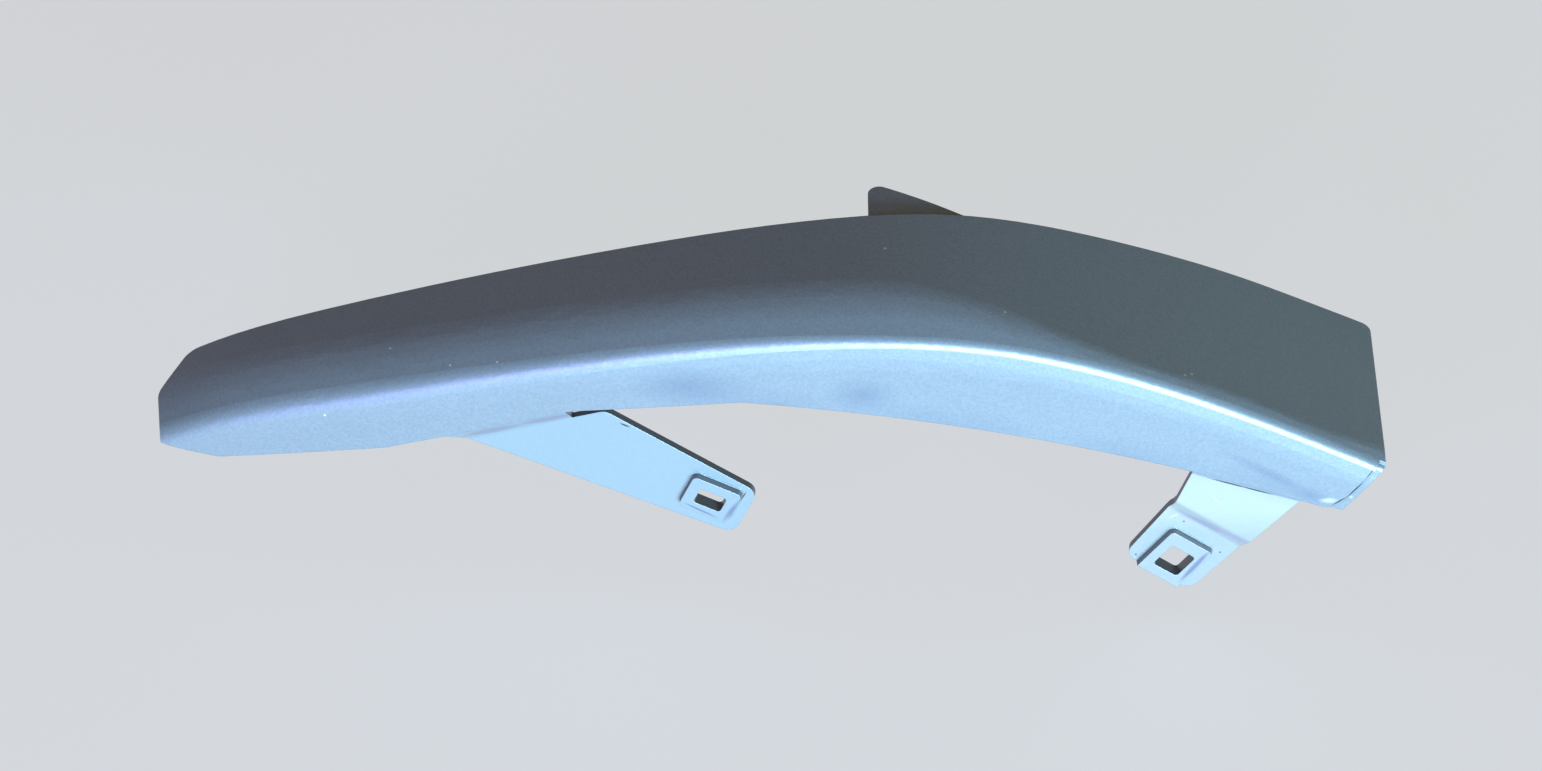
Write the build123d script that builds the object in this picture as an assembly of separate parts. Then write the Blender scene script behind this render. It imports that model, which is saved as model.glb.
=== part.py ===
from build123d import *
from math import atan2, cos, degrees, hypot, radians, sin, sqrt, tan
import os

# One moulded trim blade: an L-shaped shell with two clip tabs below its shown front face, a rebated
# right end and a locating tongue behind its rear edge.
# Millimetres and degrees. The blade is drawn about a point by the top of its ridge, with x along it,
# y back to the hidden rear edge and z up, and is moved to its own origin at the end.

# Ridge line, where the top meets the front face
reach_left = 286.2
reach_right = 166
ridge_top = -2.6
arch_radius_left = 309
arch_radius_right = 190
arch_angle_left = 22.8
arch_angle_right = 34.9
droop_length = 55
droop_radius = 300
plan_radius = 2200

# Cross-section
wall = 2.8
ridge_radius_left = 9
ridge_radius_right = 4.2
ridge_tightens_from = -230
ridge_tightens_to = 20
face_lean = 1.3
face_break = 10
face_radius = 40
band_angle = 18
crease_angle = 7
band_width_left = 24
band_width_right = 7
band_narrows_from = -20
band_narrows_to = 80
band_bend_share = 0.6
band_bend_run_share = 0.2
crease_run_share = 0.13
section_count = 19

# Rear edge, seen from above
rear_left = 83.4
rear_left_bulge = 78.1
rear_left_bulge_x = -180
rear_left_hollow = 72.7
rear_left_hollow_x = -95
rear_middle = 72.3
rear_middle_x = -18
rear_right_bulge = 75.7
rear_right_bulge_x = 75
rear_right = 77.9
corner_run = 11
corner_depth = 16
corner_radius = 7
side_angle = 6
rear_corner_radius = 3

# Lower edge of the front face, seen from the front
tip_z = -87.3
foot_x = -262
foot_z = -89.2
low_x = -199
low_z = -74
high_x = -130
high_z = -46.5
crown_x = -68
crown_z = -35.3
crown_radius = 580
tip_radius = 3
foot_radius = 10
low_radius = 8
high_radius = 30

# Slanted right end with its rebated lip
end_slant = 54
lip_width = 3.2
lip_step = 1.5
lip_thickness = 2.2
lip_root = 6
face_corner_radius = 8

# Tongue behind the rear edge, seen from above
tongue_left = -21.5
tongue_right = 18.5
tongue_reach = 20.5
tongue_root = 8
tongue_radius = 4

# Raised pad and latch window at the end of each tab
pad_height = 2.4
pad_slope = 8
pad_corner_radius = 2.2
window_corner_radius = 1.4
tab_corner_radius = 5
tab_bend_radius = 3.5

# Left tab, which leaves the sloping stretch of the lower edge
left_turn = 8.2
left_inset = 0.4
left_setback = 4
left_bend_run = 6
left_root_from = -14
left_root_to = 35
left_root_height = 8
left_shoulder = 48
left_pad_x = 70.5
left_pad_y = -55
left_tilt = -44
left_end = 14.5
left_end_above = 10.5
left_end_below = 13
left_pad_length = 19.8
left_pad_width = 16.6
left_window_length = 10.6
left_window_width = 7.5

# Right tab, which hangs from the arched stretch of the lower edge
right_turn = 2.4
right_inset = 1
right_setback = 2.8
right_bend_run = 5.4
right_bend_at = 21.6
right_pad_x = 91.4
right_pad_z = -105
right_tilt = -35
right_end = 10.2
right_end_left = 15.3
right_end_right = 14.8
right_bend_left = 17.2
right_bend_right = 16
right_root_left = 28
right_root_right = 18
right_root = 60
right_pad_length = 11.6
right_pad_width = 19.2
right_window_length = 11.5
right_window_width = 10.8

# Ribs in the hidden corner
rib_thickness = 1.6
rib_run = 6
rib_height = 5
rib_first = -205
rib_pitch = 66
rib_count = 6

# Blanks are drawn larger than what is cut from them
spare = 10
blank_depth = 110
blank_height = 60


# Drop of an arc that starts level
def fall(run, radius):
    return radius - sqrt(radius**2 - run**2)


# Drop of an arch that starts level on its crown radius and straightens out to an angle
def arch(run, radius, angle):
    slope = tan(radians(angle))
    crown = radius * slope**2
    return hypot(crown, run * slope) - crown


def ridge_y(x):
    return fall(reach_right - x, plan_radius)


def ridge_z(x):
    if x > 0:
        return ridge_top - arch(x, arch_radius_right, arch_angle_right)
    droop = max(0, droop_length - reach_left - x)
    return ridge_top - arch(x, arch_radius_left, arch_angle_left) - fall(droop, droop_radius)


def lower_edge_z(x):
    return crown_z - fall(x - crown_x, crown_radius)


# Size that changes smoothly from one value to another between two places
def between(x, start, end, before, after):
    share = min(max((x - start) / (end - start), 0), 1)
    return before + (after - before) * share**2 * (3 - 2 * share)


def ridge_radius(x):
    return between(x, ridge_tightens_from, ridge_tightens_to, ridge_radius_left, ridge_radius_right)


# Width of the sloping band between the ridge and the soft crease in the top
def band_width(x):
    return between(x, band_narrows_from, band_narrows_to, band_width_left, band_width_right)


# Line beside a bent line, at a distance to its left, with its bends rounded about the same centres
def beside(points, radii, distance):
    legs = [(Vector(*b) - Vector(*a)).normalized() for a, b in zip(points, points[1:])]
    sides = [leg.rotate(Axis.Z, 90) for leg in legs]
    moved = [
        Vector(*point) + (near + far) * (distance / (1 + near.dot(far)))
        for point, near, far in zip(points, sides[:1] + sides, sides + sides[-1:])
    ]
    turns = [1 if a.cross(b).Z > 0 else -1 for a, b in zip(legs, legs[1:])]
    bends = [radius - turn * distance for radius, turn in zip(radii, turns)]
    return FilletPolyline(*moved, radius=bends)


# Flat strip of even thickness on the left of a bent line
def strip(points, radii, inset, thickness):
    outer = beside(points, radii, inset)
    inner = beside(points, radii, inset + thickness)
    ends = [Line(outer @ 0, inner @ 0), Line(outer @ 1, inner @ 1)]
    return make_face([*outer.edges(), *inner.edges(), *ends])


def section_plane(x):
    return Plane((x, ridge_y(x), ridge_z(x)), x_dir=(0, 1, 0), z_dir=(1, 0, 0))


# Outer line of the section from its top to its front, with the radii of the crease, the bend in the
# band, the ridge and the bend in the face. The run and the height are what follows the outer bends.
def section_line(x, run, height):
    width = band_width(x)
    bend_run = band_bend_share * width
    bend_z = bend_run * tan(radians(band_angle))
    crease_z = bend_z + (width - bend_run) * tan(radians(crease_angle))
    rounding = crease_run_share * width
    points = [
        (face_lean + width + rounding + run, crease_z),
        (face_lean + width, crease_z),
        (face_lean + bend_run, bend_z),
        (face_lean, 0),
        (0, -face_break),
        (0, -face_break - height),
    ]
    crease_radius = rounding / tan(radians(crease_angle / 2))
    bend_radius = band_bend_run_share * width / tan(radians((band_angle - crease_angle) / 2))
    return points, [crease_radius, bend_radius, ridge_radius(x), face_radius]


def section(x, inset, thickness):
    points, radii = section_line(x, blank_depth, blank_height)
    return section_plane(x) * strip(points, radii, inset, thickness)


# Untrimmed shell, or a thinner layer under its outer surface
def shell(inset, thickness):
    start = -reach_left - spare
    pitch = (reach_right + spare - start) / (section_count - 1)
    return loft([section(start + i * pitch, inset, thickness) for i in range(section_count)])


def top_outline():
    rear_start = (-reach_left + corner_run, rear_left)
    rear_end = (reach_right, rear_right)
    rear = Spline(
        rear_start,
        (rear_left_bulge_x, rear_left_bulge),
        (rear_left_hollow_x, rear_left_hollow),
        (rear_middle_x, rear_middle),
        (rear_right_bulge_x, rear_right_bulge),
        rear_end,
    )
    side_end = rear_left - corner_depth
    side_start = (-reach_left + (side_end + spare) * tan(radians(side_angle)), -spare)
    front = Polyline(rear_end, (reach_right, -spare), side_start)
    side = Polyline(side_start, (-reach_left, side_end), rear_start)
    outline = make_face([*rear.edges(), *front.edges(), *side.edges()])
    outline = fillet(outline.vertices().filter_by(lambda v: v.X < 0 < v.Y), corner_radius)
    return fillet(outline.vertices().filter_by(lambda v: v.X > 0 and v.Y > 0), rear_corner_radius)


# Everything past the slanted end line, or past a line beside it
def beyond_end(inset):
    along = Vector(cos(radians(end_slant)), sin(radians(end_slant)))
    aside = Vector(along.Y, -along.X)
    lower = Vector(reach_right, ridge_z(reach_right)) - aside * inset - along * blank_height
    upper = lower + along * 2 * blank_height
    far = aside * blank_height
    return make_face(Polyline(lower, upper, upper + far, lower + far, lower))


def front_outline():
    left = FilletPolyline(
        (-reach_left, spare),
        (-reach_left, tip_z),
        (foot_x, foot_z),
        (low_x, low_z),
        (high_x, high_z),
        (crown_x, crown_z),
        radius=[tip_radius, foot_radius, low_radius, high_radius],
    )
    right_x = reach_right + spare
    middle_x = (crown_x + right_x) / 2
    bow_end = (right_x, lower_edge_z(right_x))
    bow = ThreePointArc((crown_x, crown_z), (middle_x, lower_edge_z(middle_x)), bow_end)
    rest = Polyline(bow_end, (right_x, spare), (-reach_left, spare))
    return make_face([*left.edges(), *bow.edges(), *rest.edges()])


def tongue_outline():
    root = rear_middle - tongue_root
    return FilletPolyline(
        (tongue_left, root),
        (tongue_left, rear_middle + tongue_reach),
        (tongue_right, rear_middle),
        (tongue_right, root),
        radius=[0, tongue_radius, 0, 0],
        close=True,
    )


def upright(outline):
    return extrude(outline, amount=3 * blank_height, both=True)


# Block with an outline seen from the front, which starts before the front face
def from_front(outline, depth):
    return extrude(Plane.XZ.offset(spare) * outline, amount=-spare - depth)


# Shell with its trimmed edges, the rebated lip at its right end and its tongue
def blade():
    outline = front_outline()
    ended = outline - beyond_end(0)
    shown = outline - beyond_end(lip_width)
    shown = fillet(shown.vertices().filter_by(lambda v: v.X > 0).sort_by(Axis.Y)[0], face_corner_radius)
    layer = shell(lip_step, lip_thickness)
    lip_depth = face_lean + wall + ridge_radius_right
    lip = layer & from_front(ended & beyond_end(lip_width + lip_root), lip_depth)
    tongue = layer & upright(make_face(tongue_outline()))
    body = shell(0, wall) & upright(top_outline()) & from_front(outline, 2 * blank_depth)
    return body - from_front(outline - shown, wall + lip_step) + lip + tongue


# Upright plane on the front face at x, turned to face a little to the left
def facing(x, turn):
    aside = (cos(radians(turn)), -sin(radians(turn)), 0)
    outward = (-sin(radians(turn)), -cos(radians(turn)), 0)
    return Plane((x, ridge_y(x), 0), x_dir=aside, z_dir=outward)


# Plate with a bent profile, drawn inward and up, that runs along the plane's own x
def bent_plate(plane, points):
    profile = strip(points, [tab_bend_radius, tab_bend_radius], 0, wall)
    across = Plane(plane.origin, x_dir=-plane.z_dir, z_dir=plane.x_dir)
    return extrude(across * profile, amount=blank_depth, both=True)


def raised_pad(plane, length, width):
    foot = plane * RectangleRounded(length, width, pad_corner_radius)
    return extrude(foot, amount=pad_height, taper=pad_slope)


def latch_window(plane, length, width):
    return extrude(plane * RectangleRounded(length, width, window_corner_radius), amount=spare, both=True)


def left_tab():
    rise = high_z - low_z
    run = (high_x - low_x) / cos(radians(left_turn))
    middle = Pos(0, (high_z + low_z) / 2, 0)
    face = facing((high_x + low_x) / 2, left_turn)
    root = Plane(face * middle * Rot(Z=degrees(atan2(rise, run))))
    pad = root * Pos(left_pad_x, left_pad_y, -left_setback) * Rot(Z=left_tilt)
    end = Pos(left_pad_x, left_pad_y) * Rot(Z=left_tilt)
    upper = (end * Pos(left_end, left_end_above)).position
    lower = (end * Pos(left_end, -left_end_below)).position
    outline = FilletPolyline(
        (left_root_from, left_root_height),
        (left_root_to, left_root_height),
        (left_root_to, -left_bend_run),
        (left_shoulder, -left_bend_run),
        upper,
        lower,
        (left_root_from, 0),
        radius=[0, 0, 0, tab_corner_radius, tab_corner_radius, tab_corner_radius, 0],
        close=True,
    )
    profile = [
        (left_inset, left_root_height),
        (left_inset, 0),
        (left_setback, -left_bend_run),
        (left_setback, -2 * blank_height),
    ]
    plate = bent_plate(root, profile) & extrude(root * make_face(outline), amount=2 * spare, both=True)
    plate += raised_pad(pad, left_pad_length, left_pad_width)
    return plate - latch_window(pad, left_window_length, left_window_width)


def right_pad_plane():
    face = facing(right_pad_x, right_turn)
    return Plane(face * Pos(0, right_pad_z, -right_inset - right_setback) * Rot(Z=right_tilt))


def right_tab():
    pad = right_pad_plane()
    outline = FilletPolyline(
        (-right_end_left, -right_end),
        (right_end_right, -right_end),
        (right_bend_right, right_bend_at),
        (right_root_right, right_root),
        (-right_root_left, right_root),
        (-right_bend_left, right_bend_at),
        radius=[tab_corner_radius, tab_corner_radius, 0, 0, 0, 0],
        close=True,
    )
    profile = [
        (-right_setback, right_root),
        (-right_setback, right_bend_at + right_bend_run / 2),
        (0, right_bend_at - right_bend_run / 2),
        (0, -right_end - spare),
    ]
    length = right_pad_length + right_end + spare
    pad_middle = pad * Pos(0, right_pad_length - length / 2, 0)
    plate = bent_plate(pad, profile) + raised_pad(pad_middle, right_pad_width, length)
    plate &= extrude(pad * make_face(outline), amount=2 * spare, both=True)
    return plate - latch_window(pad, right_window_width, right_window_length)


# Thin rib across the inside of the corner, from the middle of one wall to the middle of the other
def rib(x):
    points, radii = section_line(x, rib_run, rib_height)
    sunk = beside(points, radii, wall / 2)
    outline = make_face([*sunk.edges(), Line(sunk @ 1, sunk @ 0)])
    return extrude(section_plane(x) * outline, amount=rib_thickness / 2, both=True)


# The origin is the middle of the right latch window, on the front of its raised pad.
def spoiler():
    solid = blade() + left_tab() + right_tab()
    solid += [rib(rib_first + i * rib_pitch) for i in range(rib_count)]
    origin = (right_pad_plane() * Pos(0, 0, pad_height)).position
    return Pos(-origin) * solid


os.makedirs("parts", exist_ok=True)
export_step(spoiler(), "parts/spoiler_blade.step")
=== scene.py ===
import bpy
import math
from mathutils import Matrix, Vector


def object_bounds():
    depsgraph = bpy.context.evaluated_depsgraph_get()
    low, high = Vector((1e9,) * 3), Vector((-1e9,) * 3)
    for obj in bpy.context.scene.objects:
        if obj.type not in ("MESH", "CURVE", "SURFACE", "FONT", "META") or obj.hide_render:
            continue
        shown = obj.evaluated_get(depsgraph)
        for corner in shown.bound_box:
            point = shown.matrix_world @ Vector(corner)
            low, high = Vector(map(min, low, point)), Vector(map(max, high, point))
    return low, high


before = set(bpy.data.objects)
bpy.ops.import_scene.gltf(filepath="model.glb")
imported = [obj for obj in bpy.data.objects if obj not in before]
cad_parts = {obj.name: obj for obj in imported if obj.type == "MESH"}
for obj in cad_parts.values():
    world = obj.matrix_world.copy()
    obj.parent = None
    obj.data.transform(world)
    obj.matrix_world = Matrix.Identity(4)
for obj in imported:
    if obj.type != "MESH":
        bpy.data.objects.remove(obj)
cadLow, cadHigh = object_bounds()  # the solid's own box, before anything is added
scene = bpy.context.scene
print("stage: frame loaded,", len(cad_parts), "node")

metre = 0.001  # sizes below are in millimetres


def hexColour(text, alpha=1.0):
    channels = [int(text[i:i + 2], 16) / 255 for i in (1, 3, 5)]  # sRGB hex to linear
    linear = [c / 12.92 if c <= 0.04045 else ((c + 0.055) / 1.055) ** 2.4 for c in channels]
    return (*linear, alpha)


def addNode(tree, kind, settings=None, inputs=None, links=None):
    node = tree.nodes.new(kind)
    for name, value in (settings or {}).items():
        setattr(node, name, value)
    for name, value in (inputs or {}).items():
        node.inputs[name].default_value = value
    for name, source in (links or {}).items():
        tree.links.new(source, node.inputs[name])
    return node


def newMaterial(name):
    material = bpy.data.materials.new(name)
    material.use_nodes = True
    material.node_tree.nodes.clear()
    return material, material.node_tree


# ABS moulding, sprayed from the front with a silver base coat and a satin clear coat
# the flake gives a fine grain and soft broad reflections that run from dark to bright over a bend
paint = {
    "silver": "#B0BBC6",
    "metallic": 0.5,
    "roughness": 0.4,
    "cloud": "#A6B1BD",  # where the coat is thinner
    "cloudSize": 60,
    "cloudDetail": 3.0,
    "cloudRoughness": 0.6,
    "grainShade": "#8F98A2",
    "grainSize": 1.1,  # real flake is 0.02 mm, drawn coarse enough to show
    "grainDetail": 2.0,
    "grainRoughness": 0.7,
    "grainSpread": (0.35, 0.65),  # noise values over which a flake darkens
    "grainAmount": 0.42,
    "grainTilt": 0.06,
    "edgeRadius": 0.4,
    "edgeSamples": 6,
    "shadeAndDust": "#2A292B",  # painted shade, with some dust, in the inner corners
    "shadeAndDustReach": 2.0,
    "shadeAndDustSpread": (0.85, 0.5),  # openness where the painted corner shade begins and where it is full
    "shadeAndDustAmount": 0.5,
    "shadeAndDustSamples": 8,
}

# painted shade on the tabs' side walls, and the tabs paler on their fronts
tabs = {
    "rightBoxes": [{"middle": (10.5, 2, 8.8), "half": (30, 12, 32), "turn": 17.2}],
    "leftBoxes": [
        {"middle": (-233.2, 20, 10.4), "half": (28.5, 20, 40), "turn": -21.7},
        {"middle": (-186, 20, 23.7), "half": (36, 20, 33.8), "turn": 0},
    ],
    # painted shade for the tabs' side walls
    "wall": "#7A787C",
    "wallSpread": (0.6, 0.25),  # how far a surface faces front or back, from no painted wall shade to full
    "leftFront": "#B6C8D1",
    "leftCover": 0.6,
    "rightFront": "#D9DCD5",
    "rightCover": (0.38, 0.78),
    "rightHeights": (12, 26),  # between these the right tab turns paler
}

# marks of wear, handling and dust, with painted shade and highlights: one point or a line's two ends,
# then the half width
lineDepth = 1.5  # a line reaches this much deeper, through the curve of the face
marks = {
    # darker along the lower part of the face: painted shade of its curve, with some handling film
    "lowerFaceShadeAndFilm": {
        "colour": "#7F8CA8", "strength": 0.25, "softness": 1.0, "spots": [
            ((-174.1, 11.5, 69.8), (-120.0, 6.1, 69.5), 9),
            ((-120.0, 6.1, 69.5), (-47.7, 0.8, 60.5), 9),
            ((-47.7, 0.8, 60.5), (15.0, -1.7, 44.0), 9),
            ((15.0, -1.7, 46.0), (55.0, -2.5, 32.0), 8),
        ],
    },
    # two smudges on the face, then painted shade along a soft crease towards the face's lower right
    # corner
    "smudgesAndCreaseShade": {
        "colour": "#7F8CA8", "strength": 0.55, "softness": 1.0, "spots": [
            ((-192.1, 13.7, 74.2), (-164.0, 10.9, 76.6), 11),
            ((-120.8, 6.1, 76.5), (-110.0, 5.2, 77.5), 9),
            ((15.5, -1.7, 56.0), (49.0, -2.4, 35.4), 3),
            ((43.0, -2.3, 37.8), (52.0, -2.4, 33.0), 4),
        ],
    },
    # painted shade on the downward-facing fold at the left tab's root
    "shadedRootStrip": {
        "colour": "#A8A4B4", "strength": 0.95, "softness": 0.5, "spots": [
            ((-262.0, 25.8, 38.6), (-238.0, 22.2, 48.4), 2.8),
            ((-242.0, 22.8, 46.9), (-216.0, 19.0, 56.9), 2.8),
        ],
    },
    # painted shade on the right and lower sides of the pads
    "padStepShade": {
        "colour": "#8C90AC", "strength": 0.95, "softness": 0.5, "spots": [
            ((-159.0, 12.3, 22.4), (-166.0, 11.4, 9.6), 1.5),
            ((-182.5, 13.2, 18.0), (-166.0, 11.1, 10.0), 0.6),
            ((13.2, 0, 6.2), (2.2, 0, -11.0), 1.2),
        ],
    },
    # painted shade on the downward-facing fold of the right tab
    "foldShade": {
        "colour": "#BDB0CC", "strength": 0.6, "softness": 0.5, "spots": [
            ((-10.0, 3.6, 26.8), (36.0, -2.2, 6.0), 2.4),
        ],
    },
    "dustSpecks": {
        "colour": "#F4F5F3", "strength": 1.0, "softness": 0.5, "spots": [
            ((-288.2, 46.8, 63.1), 0.6),
            ((-265.4, 31.9, 68.1), 0.6),
            ((-247.9, 27.7, 73.4), 0.6),
            ((-312.3, 32.2, 43.2), 0.6),
            ((-107.2, 50.9, 107.9), 0.7),
            ((-64.6, 19.7, 104.5), 0.6),
            ((0.3, 8.6, 84.2), 0.6),
            ((2.9, 10.3, 83.1), 0.6),
        ],
    },
    # pale scratches on the right tab, then a painted glint on the lip and a painted highlight at the
    # face's lower right corner
    "scratchesAndGlints": {
        "colour": "#FFFFFF", "strength": 0.6, "softness": 0.8, "spots": [
            ((11.7, -0.8, 34.4), (15.6, -0.9, 29.0), 0.4),
            ((-3.1, 2.7, 19.1), (1.2, 2.4, 21.8), 0.4),
            ((61.5, -1.2, 34.0), (63.0, -1.0, 33.0), 0.8),
            ((52.0, -2.4, 32.8), (57.0, -2.5, 32.8), 1.6),
        ],
    },
    # dark nicks and specks, then dark lines along the right tab's root gap and the lip's step:
    # painted shade with some dirt
    "nicksAndGapShade": {
        "colour": "#211F20", "strength": 0.9, "softness": 0.6, "spots": [
            ((-203.5, 18.9, 51.4), (-199.9, 18.4, 49.9), 0.5),
            ((-157.3, 12.2, 23.7), (-159.9, 12.6, 18.3), 0.3),
            ((2.8, 2.4, 17.8), 0.5),
            ((16.8, 1.8, 2.7), 0.5),
            ((-14.0, 3.1, 0.4), 0.5),
            ((9.1, -0.9, 42.7), (27.5, -1.5, 37.1), 0.4),
            ((20.0, -1.2, 39.4), (36.0, -1.9, 34.5), 0.4),
            ((70.7, -0.2, 48.7), (66.0, -2.3, 41.2), 0.35),
            ((67.5, -2.3, 43.5), (60.0, -2.6, 33.2), 0.4),
            ((61.2, -2.6, 34.8), (55.5, -2.6, 30.2), 0.4),
        ],
    },
}


def joinMasks(tree, masks):
    total = masks[0]
    for mask in masks[1:]:
        joined = addNode(tree, "ShaderNodeMath", {"operation": "MAXIMUM"}, None, {0: total, 1: mask})
        total = joined.outputs[0]
    return total


def localPlace(tree, place, middle, turn, half):
    local = addNode(
        tree, "ShaderNodeMapping", {"vector_type": "TEXTURE"},
        {"Location": Vector(middle) * metre, "Rotation": (0, turn, 0), "Scale": Vector(half) * metre},
        {"Vector": place},
    )
    return local.outputs["Vector"]  # 1 long at the half sizes


def boxMask(tree, place, boxes):
    masks = []
    for box in boxes:
        local = localPlace(tree, place, box["middle"], math.radians(box["turn"]), box["half"])
        away = addNode(tree, "ShaderNodeVectorMath", {"operation": "ABSOLUTE"}, None, {0: local})
        parts = addNode(tree, "ShaderNodeSeparateXYZ", None, None, {0: away.outputs["Vector"]})
        widest = joinMasks(tree, [parts.outputs[axis] for axis in "XYZ"])
        inside = addNode(tree, "ShaderNodeMath", {"operation": "LESS_THAN"}, {1: 1.0}, {0: widest})
        masks.append(inside.outputs[0])
    return joinMasks(tree, masks)


def markMask(tree, place, mark):
    masks = []
    for *ends, width in mark["spots"]:
        start, end = Vector(ends[0]), Vector(ends[-1])
        along = end - start
        deep = width + lineDepth if along.length else width
        half = (along.length / 2 + width, deep, width)
        local = localPlace(tree, place, (start + end) / 2, math.atan2(-along.z, along.x), half)
        away = addNode(tree, "ShaderNodeVectorMath", {"operation": "LENGTH"}, None, {0: local})
        spot = addNode(
            tree, "ShaderNodeMapRange", None,
            {"From Min": 1.0, "From Max": 1.0 - mark["softness"], "To Max": mark["strength"]},
            {"Value": away.outputs["Value"]},
        )
        masks.append(spot.outputs["Result"])
    return joinMasks(tree, masks)


def makePaint():
    material, tree = newMaterial("silverMetallicPaintOnMouldedAbs")
    place = addNode(tree, "ShaderNodeTexCoord").outputs["Object"]
    shape = addNode(tree, "ShaderNodeNewGeometry")
    cloud, grain = [
        addNode(
            tree, "ShaderNodeTexNoise", None,
            {
                "Scale": 1 / (paint[kind + "Size"] * metre),
                "Detail": paint[kind + "Detail"],
                "Roughness": paint[kind + "Roughness"],
            },
            {"Vector": place},
        ).outputs["Fac"]
        for kind in ("cloud", "grain")
    ]
    flake = addNode(
        tree, "ShaderNodeMapRange", None,
        {
            "From Min": paint["grainSpread"][0], "From Max": paint["grainSpread"][1],
            "To Max": paint["grainAmount"],
        },
        {"Value": grain},
    )

    # tab fronts, the right one paler towards its root
    onRight = boxMask(tree, place, tabs["rightBoxes"])
    onLeft = boxMask(tree, place, tabs["leftBoxes"])
    height = addNode(tree, "ShaderNodeSeparateXYZ", None, None, {0: place})
    thick = addNode(
        tree, "ShaderNodeMapRange", None,
        {
            "From Min": tabs["rightHeights"][0] * metre, "From Max": tabs["rightHeights"][1] * metre,
            "To Min": tabs["rightCover"][0], "To Max": tabs["rightCover"][1],
        },
        {"Value": height.outputs["Z"]},
    )
    rightFront = addNode(
        tree, "ShaderNodeMath", {"operation": "MULTIPLY"}, None,
        {0: onRight, 1: thick.outputs["Result"]},
    )
    leftFront = addNode(
        tree, "ShaderNodeMath", {"operation": "MULTIPLY"}, {1: tabs["leftCover"]}, {0: onLeft},
    )

    # painted shade on the tab side walls, which face neither front nor back
    facing = addNode(
        tree, "ShaderNodeVectorMath", {"operation": "DOT_PRODUCT"}, {1: (0, 1, 0)},
        {0: shape.outputs["True Normal"]},
    )
    across = addNode(
        tree, "ShaderNodeMath", {"operation": "ABSOLUTE"}, None, {0: facing.outputs["Value"]},
    )
    side = addNode(
        tree, "ShaderNodeMapRange", None,
        {"From Min": tabs["wallSpread"][0], "From Max": tabs["wallSpread"][1]},
        {"Value": across.outputs[0]},
    )
    wall = addNode(
        tree, "ShaderNodeMath", {"operation": "MULTIPLY"}, None,
        {0: side.outputs["Result"], 1: joinMasks(tree, [onRight, onLeft])},
    )

    # painted shade, with some dust: the inner corners darken by how closed in they are
    corner = addNode(
        tree, "ShaderNodeAmbientOcclusion", {"samples": paint["shadeAndDustSamples"]},
        {"Distance": paint["shadeAndDustReach"] * metre},
    )
    shadeAndDust = addNode(
        tree, "ShaderNodeMapRange", None,
        {
            "From Min": paint["shadeAndDustSpread"][0], "From Max": paint["shadeAndDustSpread"][1],
            "To Max": paint["shadeAndDustAmount"],
        },
        {"Value": corner.outputs["AO"]},
    )

    layers = [
        (cloud, paint["cloud"]),
        (flake.outputs["Result"], paint["grainShade"]),
        (leftFront.outputs[0], tabs["leftFront"]),
        (rightFront.outputs[0], tabs["rightFront"]),
        (wall.outputs[0], tabs["wall"]),
        (shadeAndDust.outputs["Result"], paint["shadeAndDust"]),
    ]
    layers += [(markMask(tree, place, mark), mark["colour"]) for mark in marks.values()]
    below, above, mixed = 6, 7, 2  # colour sockets of the Mix node
    coat = None
    for amount, colour in layers:
        layer = addNode(
            tree, "ShaderNodeMix", {"data_type": "RGBA"}, {above: hexColour(colour)}, {0: amount},
        )
        if coat:
            tree.links.new(coat.outputs[mixed], layer.inputs[below])
        else:
            layer.inputs[below].default_value = hexColour(paint["silver"])
        coat = layer

    edge = addNode(
        tree, "ShaderNodeBevel", {"samples": paint["edgeSamples"]},
        {"Radius": paint["edgeRadius"] * metre},
    )
    bump = addNode(
        tree, "ShaderNodeBump", None,
        {"Strength": paint["grainTilt"], "Distance": paint["grainSize"] * metre},
        {"Height": grain, "Normal": edge.outputs["Normal"]},
    )
    shader = addNode(
        tree, "ShaderNodeBsdfPrincipled", None,
        {"Metallic": paint["metallic"], "Roughness": paint["roughness"]},
        {"Base Color": coat.outputs[mixed], "Normal": bump.outputs["Normal"]},
    )
    addNode(tree, "ShaderNodeOutputMaterial", None, None, {"Surface": shader.outputs["BSDF"]})
    return material


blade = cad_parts["spoiler_blade"]
blade.data.materials.clear()
blade.data.materials.append(makePaint())
print("stage: paint on the blade")

# studio floor below the tabs, of matt painted board: no gloss, an even pale tone, a soft shadow
floor = {
    "below": 12,
    "size": 40000,
    "colour": "#8E8F90",
    "pale": "#E9EAEB",
    "paleness": 0.7,
}
bpy.ops.mesh.primitive_plane_add(
    size=floor["size"] * metre, location=(0, 0, cadLow.z - floor["below"] * metre)
)
floorPlane = bpy.context.object
floorPlane.name = "studioFloor"
floorPaint, floorTree = newMaterial("mattPaintedBoard")
floorShader = addNode(
    floorTree, "ShaderNodeBsdfPrincipled", None,
    {
        "Base Color": hexColour(floor["colour"]), "Roughness": 1.0, "Specular IOR Level": 0.0,
        "Emission Color": hexColour(floor["pale"]),
    },
)
# the camera and the paint's gloss see the floor pale, and that adds no light to the blade's matt part
seen = addNode(floorTree, "ShaderNodeLightPath")
rays = ("Is Camera Ray", "Is Glossy Ray", "Is Transmission Ray")
glow = addNode(
    floorTree, "ShaderNodeMath", {"operation": "MULTIPLY"}, {1: floor["paleness"]},
    {0: joinMasks(floorTree, [seen.outputs[ray] for ray in rays])},
)
floorTree.links.new(glow.outputs[0], floorShader.inputs["Emission Strength"])
addNode(floorTree, "ShaderNodeOutputMaterial", None, None, {"Surface": floorShader.outputs["BSDF"]})
floorPlane.data.materials.append(floorPaint)
print("stage: floor")

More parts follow.
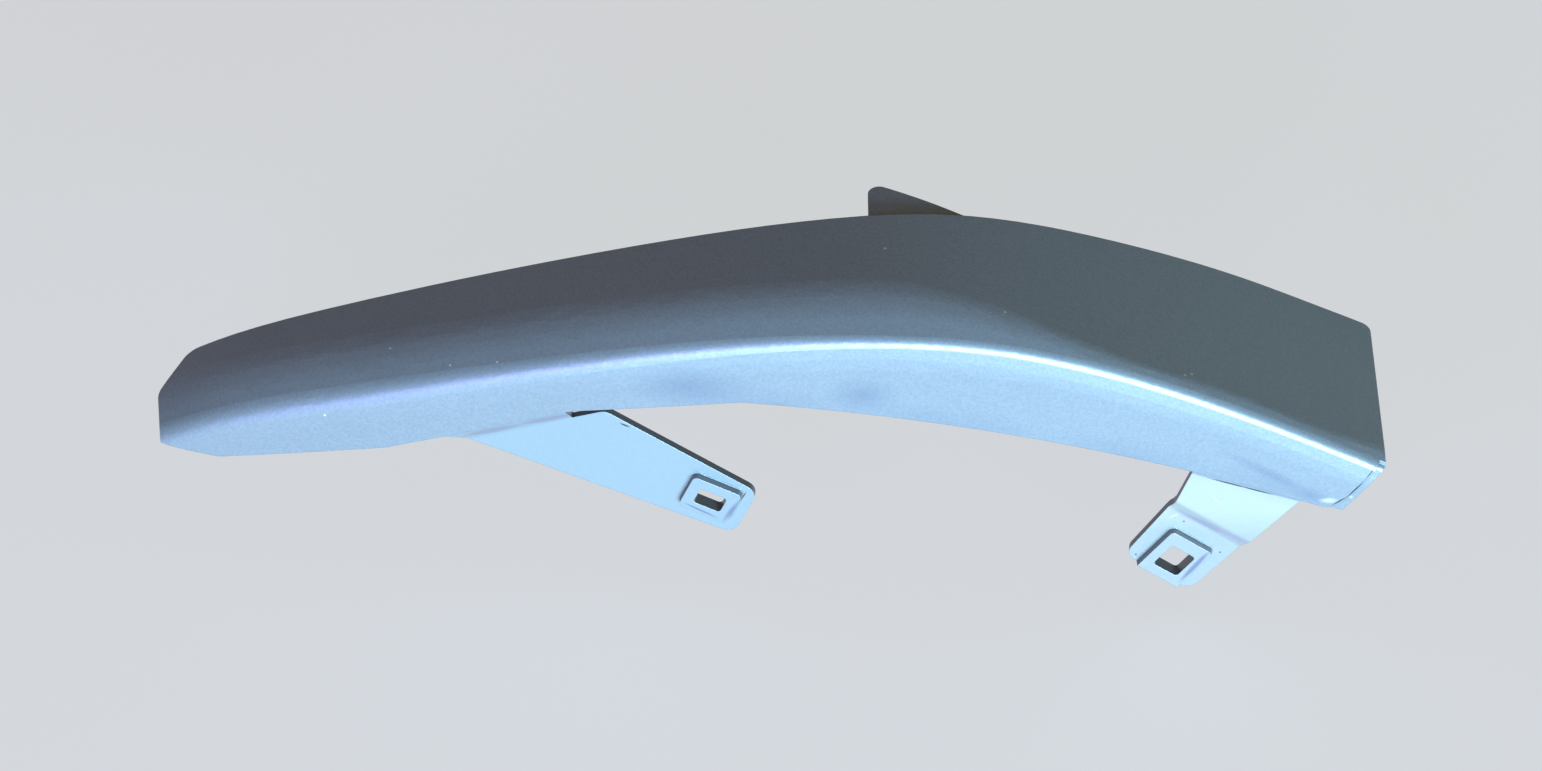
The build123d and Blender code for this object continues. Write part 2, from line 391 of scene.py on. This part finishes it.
# soft light: two large cool panels low in front, dim warm room around
lights = {
    "rightPanel": {
        "at": (660, -2960, 345), "aim": (-60, 0, 60), "size": (2600, 720),
        "watts": 228, "colour": "#B9EAFF",
    },
    "leftPanel": {
        "at": (-1350, -2400, 880), "aim": (-250, 0, 60), "size": (1400, 1000),
        "watts": 34, "colour": "#B0A9FF",
    },
}
for name, lamp in lights.items():
    data = bpy.data.lights.new(name, "AREA")
    data.shape = "RECTANGLE"
    data.size = lamp["size"][0] * metre
    data.size_y = lamp["size"][1] * metre
    data.energy = lamp["watts"]
    data.color = hexColour(lamp["colour"])[:3]
    lampObject = bpy.data.objects.new(name, data)
    at = Vector(lamp["at"]) * metre
    lampObject.location = at
    lampObject.rotation_mode = "QUATERNION"
    lampObject.rotation_quaternion = (Vector(lamp["aim"]) * metre - at).to_track_quat("-Z", "Y")
    scene.collection.objects.link(lampObject)
room = {"colour": "#E3D8B8", "strength": 0.176}
scene.world = bpy.data.worlds.new("dimRoom")
scene.world.use_nodes = True
roomLight = scene.world.node_tree.nodes["Background"]
roomLight.inputs["Color"].default_value = hexColour(room["colour"])
roomLight.inputs["Strength"].default_value = room["strength"]
scene.view_settings.view_transform = "Standard"
print("stage: lights")

# camera at the photograph's angle, for a 1542 x 771 image
view = {
    "lookAt": (-148.46, -2.66, 89.2),
    "elevation": 42,
    "distance": 2000,
    "focalPixels": 5600,
    "imageWidth": 1542,
    "sensorWidth": 36,
    "nearest": 10,
    "furthest": 100000,
}
cameraData = bpy.data.cameras.new("photoCamera")
cameraData.sensor_fit = "HORIZONTAL"
cameraData.sensor_width = view["sensorWidth"]
cameraData.lens = view["focalPixels"] / view["imageWidth"] * view["sensorWidth"]
cameraData.clip_start = view["nearest"] * metre
cameraData.clip_end = view["furthest"] * metre
camera = bpy.data.objects.new("photoCamera", cameraData)
down = math.radians(view["elevation"])
back = Vector((0, -math.cos(down), math.sin(down)))
camera.location = (Vector(view["lookAt"]) + back * view["distance"]) * metre
camera.rotation_mode = "QUATERNION"
camera.rotation_quaternion = (-back).to_track_quat("-Z", "Y")
scene.collection.objects.link(camera)
scene.camera = camera
print("stage: camera")
